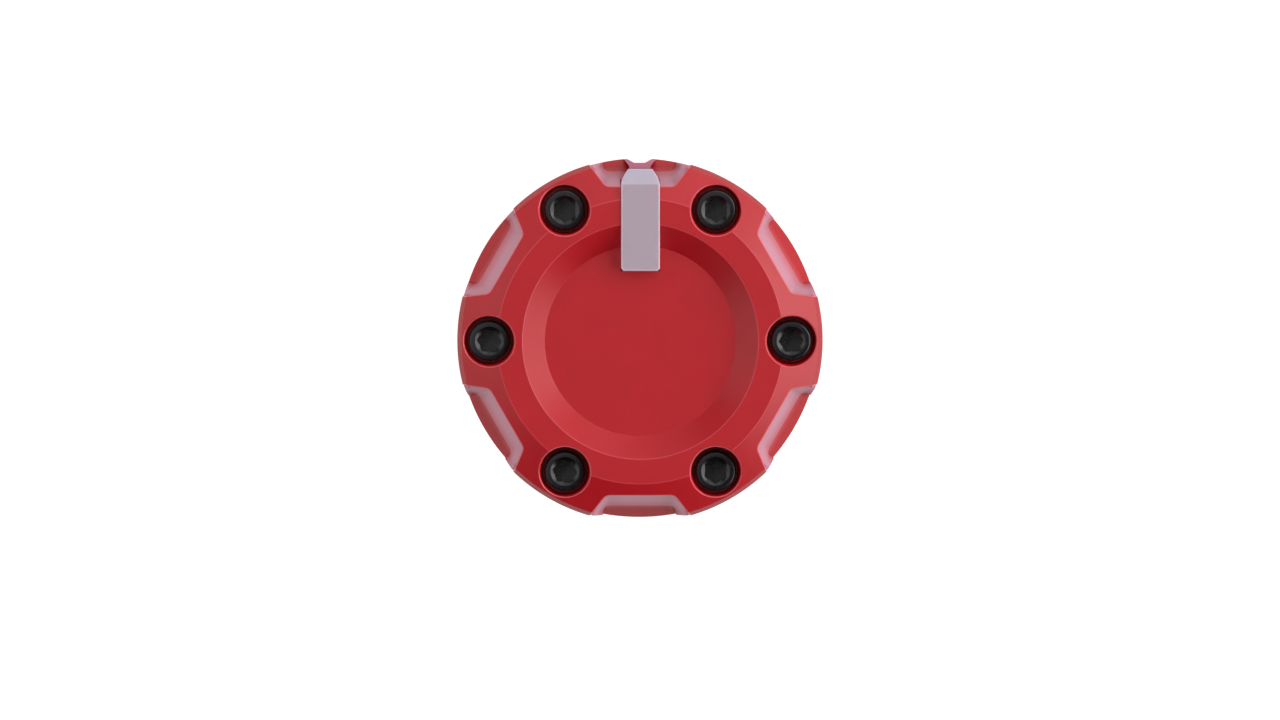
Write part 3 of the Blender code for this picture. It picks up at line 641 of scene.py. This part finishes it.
def front_cover():
    """The dished red cover: profile, counterbores, windows and pointer slot, each edge broken."""
    bore, floor_z = COUNTERBORE
    recess, recess_z = COVER_RECESS

    def edge_drop(x, y):
        to_window = WINDOW.distance(*at_window(x, y), WINDOW_CHORD)
        to_bore = max(0.0, from_screw(x, y) - bore)
        return max(EDGE - to_window, EDGE - to_bore, 0.0)

    def slot_drop(x, y):
        return max(SLOT_EDGE - box_distance(x, y, SLOT_LOW, SLOT_HIGH), 0.0)

    def top(x, y):
        face = height_on(COVER_LINE, math.hypot(x, y)) - max(edge_drop(x, y), slot_drop(x, y))
        up_wall = (from_screw(x, y) - bore + BORE_DRAFT) / BORE_DRAFT
        return floor_z + (face - floor_z) * min(max(up_wall, 0.0), 1.0)

    def bottom(x, y):
        radius = math.hypot(x, y)
        if radius < recess - DRAFT / 2:
            return recess_z
        grown = LIP_HALF + CLEARANCE + DRAFT / 2
        ends = (LIP_ENDS[0] - CLEARANCE - DRAFT / 2, LIP_ENDS[1] + CLEARANCE + DRAFT / 2)
        if abs(x) < grown and ends[0] < y < ends[1]:
            return LIP_TOP + SEAT_GAP
        across, out = at_window(x, y)
        if within(across, out, PAD_POCKET):
            return slope_z(out) - COVER_SKIN + PAD_HEADROOM
        return COVER_BOTTOM + max(0.0, radius - COVER_RADIUS + SMALL_EDGE)

    def inside(x, y):
        clear = not in_window(x, y) and not in_slot(x, y)
        return clear and math.hypot(x, y) < COVER_RADIUS and from_screw(x, y) > SCREW_HOLE

    loops = [circle(radius) for radius, _ in COVER_LINE[1:]]
    loops += [circle(recess), circle(recess - DRAFT), circle(COVER_RADIUS - SMALL_EDGE)]
    for place in SCREW_PLACES:
        for radius in (bore + EDGE, bore, bore - BORE_DRAFT, SCREW_HOLE):
            loops.append(circle(radius, place, SMALL_ROUND))
    around = [WINDOW.loop(WINDOW_CHORD), WINDOW.loop(WINDOW_CHORD, EDGE)]
    around += [pad_loop(gap) for gap in PAD_GAP_ENDS]
    for angle in WINDOW_ANGLES:
        loops += [turned_plan(loop, angle - QUARTER) for loop in around]
    loops.append(rectangle(SLOT_LOW, SLOT_HIGH))
    loops.append(rectangle((SLOT_LOW[0] - SLOT_EDGE, SLOT_LOW[1] - SLOT_EDGE),
                           (SLOT_HIGH[0] + SLOT_EDGE, SLOT_HIGH[1])))
    lip = LIP_HALF + CLEARANCE
    for spread in (0.0, DRAFT):
        loops.append(rectangle((-lip - spread, LIP_ENDS[0] - CLEARANCE - spread),
                               (lip + spread, LIP_ENDS[1] + CLEARANCE + spread)))

    # Narrow rings along the land's edges, which take the painted highlight line
    highlight_lines = (COVER_PROFILE[2][0], LAND_RADIUS)
    loops += [circle(line + spread) for line in highlight_lines for spread in (-HIGHLIGHT_LINE_HALF, HIGHLIGHT_LINE_HALF)]

    # Painted light on the cover: a lighter red on the counterbore walls, lighter pink painted
    # highlights on the broken edges and along the land's two edges, and a darker red painted shade
    # on the steep rim
    def look(x, y):
        radius = math.hypot(x, y)
        if bore - BORE_DRAFT < from_screw(x, y) < bore:
            return RED_BORE_PAINTED_LIGHT
        if from_screw(x, y) > bore and edge_drop(x, y) > LEAST_DROP:
            return RED_EDGE_PAINTED_HIGHLIGHT
        if radius > SLOPE_FOOT[0]:
            return RED_RIM_PAINTED_SHADE
        on_highlight_line = from_screw(x, y) > bore and min(abs(radius - line) for line in highlight_lines) < HIGHLIGHT_LINE_HALF
        return RED_PAINTED_HIGHLIGHT_LINE if on_highlight_line else RED

    materials = (RED, RED_EDGE_PAINTED_HIGHLIGHT, RED_PAINTED_HIGHLIGHT_LINE, RED_RIM_PAINTED_SHADE, RED_BORE_PAINTED_LIGHT)
    return plan_solid("cover_shell", loops, inside, top, bottom, materials, look)


def tongue_half(y, grow=0.0):
    """Half the width of the light ring's tongue at a distance y up from the axis."""
    waist, waist_y = TONGUE_WAIST
    flare = (TONGUE_RIM_HALF - waist) / (BASE_RADIUS - waist_y)
    return waist + grow + max(0.0, y - waist_y) * flare


def tongue_loop(grow=0.0):
    ys = (TONGUE_INNER - grow, TONGUE_WAIST[1], RIM_REACH)
    return mirrored([(tongue_half(y, grow), y) for y in ys])


def in_tongue(x, y, grow=0.0):
    return y > TONGUE_INNER - grow and abs(x) < tongue_half(y, grow)


def groove_half(y, grow):
    """Half the width of the index groove in the rim at a distance y up from the axis."""
    rim_half, floor_half = GROOVE_HALF
    return rim_half + grow + (y - BASE_RADIUS) * (rim_half - floor_half) / GROOVE_DEPTH


def groove_loop(grow=0.0):
    ys = (BASE_RADIUS - GROOVE_DEPTH - grow, RIM_REACH)
    return mirrored([(groove_half(y, grow), y) for y in ys])


def in_groove(x, y, grow=0.0):
    return y > BASE_RADIUS - GROOVE_DEPTH - grow and abs(x) < groove_half(y, grow)


def light_ring():
    """The frosted ring: pads behind the windows, drafted lens faces, a tongue at 12 o'clock."""
    low, high = RING_Z
    cheek = WINDOW_CHORD + CHEEK_GAP

    def lens_z(across, out):
        """Falls from the window's outline to the lens's foot, which flares less than the window."""
        from_window = max(0.0, -WINDOW.distance(across, out, WINDOW_CHORD))
        from_foot = max(0.0, FOOT.distance(across, out, LENS_FOOT_CHORD))
        return LENS_TOP_Z - (LENS_TOP_Z - low) * from_window / max(from_window + from_foot, DRAFT)

    def top(x, y):
        across, out = at_window(x, y)
        under_face = min(slope_z(out) - COVER_SKIN,
                         height_on(COVER_LINE, math.hypot(x, y)) - 2 * EDGE)
        if in_tongue(x, y, DRAFT / 2):
            return max(TONGUE_Z[1], min(lens_z(across, out), slope_z(out) - COVER_SKIN))
        behind_pointer = y > 0.0 and abs(x) < POINTER_HALF + 2 * CLEARANCE - DRAFT / 2
        in_view = within(across, out, PAD_PLAN) or WINDOW.distance(across, out, cheek) < DRAFT / 4
        if in_view and not behind_pointer:
            return max(min(under_face, lens_z(across, out)), low + THINNEST)
        return max(min(high, lens_z(across, out)), low + THINNEST)

    def bottom(x, y):
        return TONGUE_Z[0] if in_tongue(x, y, DRAFT / 2) else low

    def inside(x, y):
        radius = math.hypot(x, y)
        solid = RING_INNER < radius < BASE_RADIUS and from_screw(x, y) > SCREW_HOLE
        if not solid or in_groove(x, y):
            return False
        return in_tongue(x, y) or FOOT.distance(*at_window(x, y), LENS_FOOT_CHORD) > 0.0

    loops = [circle(RING_INNER), circle(SLOPE_FOOT[0]), circle(BASE_RADIUS)]
    loops += [circle(SCREW_HOLE, place, SMALL_ROUND) for place in SCREW_PLACES]
    first, last = WINDOW.loop(WINDOW_CHORD), FOOT.loop(LENS_FOOT_CHORD)
    for angle in WINDOW_ANGLES:
        rows = [WINDOW.loop(cheek), WINDOW.loop(cheek, DRAFT), pad_loop(), pad_loop(DRAFT)]
        for i in range(LENS_STEPS + 1):
            share = i / LENS_STEPS
            rows.append([tuple(Vector(a).lerp(Vector(b), share)) for a, b in zip(first, last)])
        loops += [turned_plan(row, angle - QUARTER) for row in rows]
    loops += [tongue_loop(), tongue_loop(DRAFT), groove_loop()]
    split = POINTER_HALF + 2 * CLEARANCE
    for half in (split, split - DRAFT):
        loops.append(rectangle((-half, PAD_OUTLINE[0][1] - MARGIN), (half, COVER_RADIUS)))
    return plan_solid("lens_ring", loops, inside, top, bottom, (LENS,))


def base_body():
    """The red base: ramps at the windows' feet, spigot, hub, bosses, ribs and a hollow back."""
    ramp_chord, ramp_z = RAMP_FOOT
    fall = (PLATE_Z[1] - ramp_z) / (ramp_chord - LENS_FOOT_CHORD)
    near = DRAFT / 2
    keys = KEY_HALF + KEY_GAP

    def between(value, ends):
        return ends[0] - near < value < ends[1] + near

    def top(x, y):
        radius = math.hypot(x, y)
        if in_tongue(x, y, CLEARANCE + near):
            return TONGUE_Z[0] - SEAT_GAP
        if between(radius, HUB_RADII):
            return KEY_BOTTOM - KEY_GAP if abs(y) < keys - near else HUB_Z[1]
        if between(radius, SPIGOT_RADII):
            return SPIGOT_TOP
        edge = max(0.0, radius - BASE_RADIUS + SMALL_EDGE)
        return PLATE_Z[1] - (ramp_drop(x, y) or edge)

    def ramp_drop(x, y):
        across, out = at_window(x, y)
        beyond = out - LENS_FOOT_CHORD
        on_ramp = FOOT.distance(across, out, LENS_FOOT_CHORD) < -near
        return beyond * fall if on_ramp else 0.0

    def bottom(x, y):
        radius = math.hypot(x, y)
        if radius > BASE_WALL_INNER - near:
            return REAR_RIM_Z + max(0.0, radius - BASE_RADIUS + 2 * EDGE)
        across, _ = folded(x, y, 0.0)
        if from_screw(x, y) < BOSS[0] - near:
            return BOSS[1]
        if between(radius, HUB_RADII):
            return HUB_Z[0]
        if abs(across) < RIB[0] - near and radius < SCREW_CIRCLE:
            return RIB[1]
        return PLATE_Z[0]

    def inside(x, y):
        radius, angle = math.hypot(x, y), math.atan2(*at_window(x, y))
        if not HUB_RADII[0] < radius < BASE_RADIUS or in_groove(x, y, GROOVE_RELIEF):
            return False
        if in_tongue(x, y, CLEARANCE) and radius < BASE_WALL_INNER:
            return False
        inner, outer = LIGHT_SLOT_RADII
        in_light_slot = inner < radius < outer and abs(angle) < LIGHT_SLOT_HALF_SPAN
        return not in_light_slot and from_screw(x, y) > INSERT_HOLE

    radii = [HUB_RADII[0], HUB_RADII[1], HUB_RADII[1] + DRAFT,
             SPIGOT_RADII[0] - DRAFT, SPIGOT_RADII[0], SPIGOT_RADII[1], SPIGOT_RADII[1] + DRAFT,
             BASE_WALL_INNER, BASE_WALL_INNER - DRAFT,
             BASE_RADIUS - 2 * EDGE, BASE_RADIUS - SMALL_EDGE, BASE_RADIUS]
    loops = [circle(radius) for radius in radii]
    for index, place in enumerate(SCREW_PLACES):
        for radius in (INSERT_HOLE, BOSS[0], BOSS[0] - DRAFT):
            loops.append(circle(radius, place, SMALL_ROUND))
        for half in (RIB[0], RIB[0] - DRAFT):
            rib = rectangle((HUB_RADII[1], -half), (SCREW_CIRCLE, half))
            loops.append(turned_plan(rib, SIXTH * index))
    inner, outer = LIGHT_SLOT_RADII
    spans = [LIGHT_SLOT_HALF_SPAN * (i / CORNER_STEPS * 2 - 1) for i in range(CORNER_STEPS + 1)]
    slot = [polar(inner, a) for a in spans] + [polar(outer, a) for a in reversed(spans)]
    for angle in WINDOW_ANGLES:
        loops.append(turned_plan(slot, angle))
        for grow in (0.0, -DRAFT):
            loops.append(turned_plan(FOOT.loop(LENS_FOOT_CHORD, grow), angle - QUARTER))
    loops += [tongue_loop(CLEARANCE), tongue_loop(CLEARANCE + DRAFT), groove_loop(GROOVE_RELIEF)]
    for half in (keys, keys - DRAFT):
        loops.append(rectangle((-HUB_RADII[1] - MARGIN, -half), (HUB_RADII[1] + MARGIN, half)))

    # The ramps take a darker red as painted shade, going pink near the lens foot as painted light
    def look(x, y):
        return RED_RAMP_PAINTED_SHADE_AND_GLOW if ramp_drop(x, y) else RED

    return plan_solid("base_shell", loops, inside, top, bottom, (RED, RED_RAMP_PAINTED_SHADE_AND_GLOW), look)


def pointer_half(y):
    """Half the pointer's width: full to the bend, then drawing in to the rim."""
    share = max(0.0, (y - POINTER_BEND) / (POINTER_ENDS[1] - POINTER_BEND))
    return POINTER_HALF - (POINTER_HALF - POINTER_END_HALF) * share**POINTER_CURVE


def pointer():
    """The frosted bar at 12 o'clock: rounded long edges, a sloped end and two lips underneath."""
    start, end = POINTER_ENDS
    high, low = POINTER_Z
    corner = POINTER_CORNER
    fall = (high - low) / (end - POINTER_BEND)

    def outline(inset):
        ease = CORNER_EASE * inset
        half = [(POINTER_HALF - corner - ease, start + inset),
                (POINTER_HALF - inset, start + corner + ease)]
        for i in range(POINTER_STATIONS):
            y = POINTER_BEND + (end - POINTER_BEND) * i / POINTER_STATIONS
            half.append((pointer_half(y) - inset, y))
        half.append((pointer_half(end) - inset, end - inset))
        return mirrored(half)

    turns = [QUARTER * i / POINTER_EDGE_STEPS for i in range(POINTER_EDGE_STEPS + 1)]
    insets = [EDGE * (1 - math.cos(turn)) for turn in turns] + [POINTER_HIGHLIGHT_BAND]

    def depth_in(x, y):
        """Distance in from the outline, up to the width of the rounded edge."""
        x = abs(x)
        side = pointer_half(y) - x
        bevel = ((POINTER_HALF - x) + (y - start) - corner) / math.sqrt(2)
        return min(side, y - start, end - y, bevel)

    def top(x, y):
        if abs(x) > pointer_half(y) + DRAFT / 2:
            return LIP_TOP
        level = high - max(0.0, y - POINTER_BEND) * fall
        inward = min(max(depth_in(x, y), 0.0), EDGE)
        return level - EDGE + math.sqrt(EDGE**2 - (EDGE - inward) ** 2)

    def bottom(x, y):
        for reach, z in POINTER_FEET:
            if y < reach - DRAFT / 2:
                return z
        return POINTER_FEET[-1][1]

    def inside(x, y):
        lip = abs(x) < LIP_HALF and LIP_ENDS[0] < y < LIP_ENDS[1]
        bevel = (POINTER_HALF - abs(x)) + (y - start) > corner
        return lip or (start < y < end and abs(x) < pointer_half(y) and bevel)

    loops = [outline(inset) for inset in insets]
    for half in (POINTER_HALF + DRAFT, LIP_HALF):
        loops.append(rectangle((-half, LIP_ENDS[0]), (half, LIP_ENDS[1])))
    across = [reach - spread for reach, _ in POINTER_FEET[:-1] for spread in (0.0, DRAFT)]
    for y in (*across, POINTER_BEND):
        loops.append(rectangle((-POINTER_HALF - MARGIN, y),
                               (POINTER_HALF + MARGIN, end + 5 * MARGIN)))

    # Painted light on the bar: lighter and bluer on the sloped end, and a lighter painted highlight
    # along its rounded edges
    def look(x, y):
        if y > POINTER_BEND:
            return POINTER_SLOPE_PAINTED_LIGHT
        on_highlight = depth_in(x, y) < POINTER_HIGHLIGHT_BAND and abs(x) <= POINTER_HALF
        return POINTER_EDGE_PAINTED_HIGHLIGHT if on_highlight else POINTER

    materials = (POINTER, POINTER_EDGE_PAINTED_HIGHLIGHT, POINTER_SLOPE_PAINTED_LIGHT)
    bar = plan_solid("pointer_bar", loops, inside, top, bottom, materials, look)
    # Light passes through the frosted bar, which has no dark shadow
    bar.visible_shadow = False
    return bar


def socket_screw_rows():
    """Rows of an M3 socket-head screw, from its tip to the floor of its hexagon."""
    low, high = HEAD_Z
    thread_start, thread_end = SCREW_TIP + THREAD_START, low - THREAD_TO_HEAD
    length = thread_end - SCREW_TIP - THREAD_START
    count = round(length / THREAD_PITCH * THREAD_ROWS)

    def thread(z):
        def radius(angle):
            turn = (z / THREAD_PITCH - angle / math.tau) % 1.0
            return SHANK_RADIUS - THREAD_DEPTH * abs(2 * turn - 1)
        return radius

    def knurl(angle):
        return HEAD_RADIUS - KNURL_DEPTH * (0.5 - 0.5 * math.cos(angle * SCREW_STEPS / KNURL_STEPS))

    def hexagon(angle):
        return SOCKET_APOTHEM / math.cos(angle % SIXTH - SIXTH / 2)

    def mouth(depth):
        return lambda angle: max(hexagon(angle), SOCKET_MOUTH - depth)

    rows = [(TIP_RING, SCREW_TIP), (SHANK_RADIUS - TIP_CHAMFER[0], SCREW_TIP),
            (SHANK_RADIUS - THREAD_DEPTH, SCREW_TIP + TIP_CHAMFER[1])]
    for i in range(count + 1):
        z = thread_start + length * i / count
        rows.append((thread(z), z))
    rows += [(SHANK_RADIUS, thread_end + THREAD_FADE), (SHANK_RADIUS, low - HEAD_FILLET),
             (SHANK_RADIUS + HEAD_FILLET, low)]
    rows += [(HEAD_RADIUS - inset, low + rise) for inset, rise in HEAD_FOOT]
    rows += [(knurl, low + KNURL_FOOT), (knurl, high - KNURL_END),
             (HEAD_RADIUS - HEAD_BAND[0], high - HEAD_BAND[1])]
    for i in range(HEAD_ROUND_STEPS + 1):
        angle = QUARTER * i / HEAD_ROUND_STEPS
        rows.append((HEAD_RADIUS - HEAD_ROUND * (1 - math.cos(angle)),
                     high - HEAD_ROUND * (1 - math.sin(angle))))
    for i in range(SOCKET_STEPS + 1):
        depth = (SOCKET_MOUTH - SOCKET_APOTHEM) * i / SOCKET_STEPS
        rows.append((mouth(depth), high - depth * SOCKET_CHAMFER))
    floor_z = high - SOCKET_DEPTH
    rows.append((hexagon, floor_z))
    rows += [(radius, floor_z - fall) for radius, fall in SOCKET_FLOOR]
    return rows


def screws():
    """Six alike screws in their counterbores, each with its own turn of the hexagon."""
    first = lofted("cap_screw_1", socket_screw_rows(), (BLACK_OXIDE,))
    for index, (x, y) in enumerate(SCREW_PLACES):
        piece = first
        if index:
            piece = bpy.data.objects.new(f"cap_screw_{index + 1}", first.data)
            bpy.context.scene.collection.objects.link(piece)
            piece.modifiers.new("weighted_normals", "WEIGHTED_NORMAL").keep_sharp = True
        piece.location = (x * MM, y * MM, 0.0)
        piece.rotation_euler.z = math.radians(HEX_TURNS[index])
        installed(piece, "knob", "black_screw", f"screw_{index + 1}")


def carried_over():
    """CAD nodes that keep their shape and get a better surface."""
    finishes = {"shaft_socket": NYLON, "spring_clip": STEEL, "spindle": STEEL,
                "spindle_clip": STEEL, "thrust_washer": STEEL, "spindle_bush": ZINC}
    finishes.update({f"insert_{i + 1}": BRASS for i in range(6)})
    for node, material in finishes.items():
        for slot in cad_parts[node].material_slots:
            slot.material = material


# ---------------------------------------------------------------- stage


VIEW_DISTANCE = 750.0
VIEW_TILT = math.radians(2.3)
VIEW_HEADING = math.radians(108.0)
VIEW_TARGET = (-0.065, -2.625, 21.0)
LENS_MM = 149.2
SENSOR_MM = 36.0
# Metres
CLIP = (0.05, 20.0)
FLOOR_HALF = 4.0
FLOOR_GLOW = 0.93
# (rise of the direction, brightness) at the horizon and overhead
HORIZON, OVERHEAD = (0.03, 0.55), (0.22, 0.0)


def camera():
    """A long lens almost straight above the face, with 12 o'clock up in the image."""
    data = bpy.data.cameras.new("camera")
    data.sensor_width = SENSOR_MM
    data.lens = LENS_MM
    data.clip_start, data.clip_end = CLIP
    obj = bpy.data.objects.new("camera", data)
    bpy.context.scene.collection.objects.link(obj)
    back = Vector((*polar(math.sin(VIEW_TILT), VIEW_HEADING), math.cos(VIEW_TILT)))
    right = Vector((0.0, 1.0, 0.0)).cross(back).normalized()
    up = back.cross(right)
    turn = Matrix((right, up, back)).transposed().to_4x4()
    place = (Vector(VIEW_TARGET) + back * VIEW_DISTANCE) * MM
    obj.matrix_world = Matrix.Translation(place) @ turn
    bpy.context.scene.camera = obj


SOFTBOX_SIZE = (1.2, 1.0)
SOFTBOX_DISTANCE = 1.0
# Name, bearing and angle off the vertical in degrees, power in watts
SOFTBOXES = (
    ("right", 0, 50, 8.7),
    ("low_right", 0, 75, 3.3),
    ("upper_right", 45, 50, 3.35),
    ("top", 90, 50, 0.9),
    ("low_top", 90, 75, 2.1),
    ("upper_left", 135, 25, 2.5),
    ("left", 180, 50, 1.5),
    ("low_left", 180, 75, 2.9),
)


def softbox(name, bearing, off_vertical, power):
    """An area light aimed at the knob, at a bearing from +X and an angle off the vertical."""
    data = bpy.data.lights.new(name, "AREA")
    data.shape = "RECTANGLE"
    data.size, data.size_y = SOFTBOX_SIZE
    data.energy = power
    obj = bpy.data.objects.new(name, data)
    bpy.context.scene.collection.objects.link(obj)
    direction = Vector((*polar(math.sin(off_vertical), bearing), math.cos(off_vertical)))
    obj.location = direction * SOFTBOX_DISTANCE + Vector((0, 0, LAND_Z * MM))
    obj.rotation_mode = "QUATERNION"
    obj.rotation_quaternion = direction.to_track_quat("Z", "Y")
    obj.visible_camera = False


def lights():
    """Softboxes round the knob, high and low, the strongest on the right."""
    for name, bearing, off_vertical, power in SOFTBOXES:
        softbox(name, math.radians(bearing), math.radians(off_vertical), power)


def stage():
    """A wide pale floor and a pale horizon under a darker overhead."""
    shape = bmesh.new()
    bmesh.ops.create_grid(shape, x_segments=8, y_segments=8, size=FLOOR_HALF)
    mesh = bpy.data.meshes.new("floor")
    shape.to_mesh(mesh)
    shape.free()
    shader = Shader("pale_floor", Roughness=0.8, Specular_IOR_Level=0.1)
    cloud = shader.noise(0.004, detail=1.0)
    shader.set("Base Color", shader.blend(cloud, (0.26, 0.26, 0.26), (0.28, 0.28, 0.28)))
    shader.surface.inputs["Emission Color"].default_value = (1.0, 1.0, 1.0, 1.0)
    shader.surface.inputs["Emission Strength"].default_value = FLOOR_GLOW
    mesh.materials.append(shader.material)
    floor = bpy.data.objects.new("floor", mesh)
    bpy.context.scene.collection.objects.link(floor)

    world = bpy.data.worlds.new("studio")
    world.use_nodes = True
    tree = world.node_tree
    place = tree.nodes.new("ShaderNodeTexCoord")
    split = tree.nodes.new("ShaderNodeSeparateXYZ")
    ramp = tree.nodes.new("ShaderNodeMapRange")
    ramp.inputs["From Min"].default_value, ramp.inputs["To Min"].default_value = HORIZON
    ramp.inputs["From Max"].default_value, ramp.inputs["To Max"].default_value = OVERHEAD
    tree.links.new(place.outputs["Generated"], split.inputs["Vector"])
    tree.links.new(split.outputs["Z"], ramp.inputs["Value"])
    tree.links.new(ramp.outputs["Result"], tree.nodes["Background"].inputs["Strength"])
    tree.nodes["Background"].inputs["Color"].default_value = (1.0, 1.0, 1.0, 1.0)
    bpy.context.scene.world = world
    bpy.context.scene.view_settings.view_transform = "Standard"


def main():
    installed(front_cover(), "knob", "cover_red", "front_cover")
    installed(light_ring(), "knob", "frosted_lens", "light_ring")
    installed(base_body(), "knob", "base_red", "base_body")
    installed(pointer(), "knob", "frosted_pointer", "pointer")
    screws()
    carried_over()
    stage()
    lights()
    camera()


main()
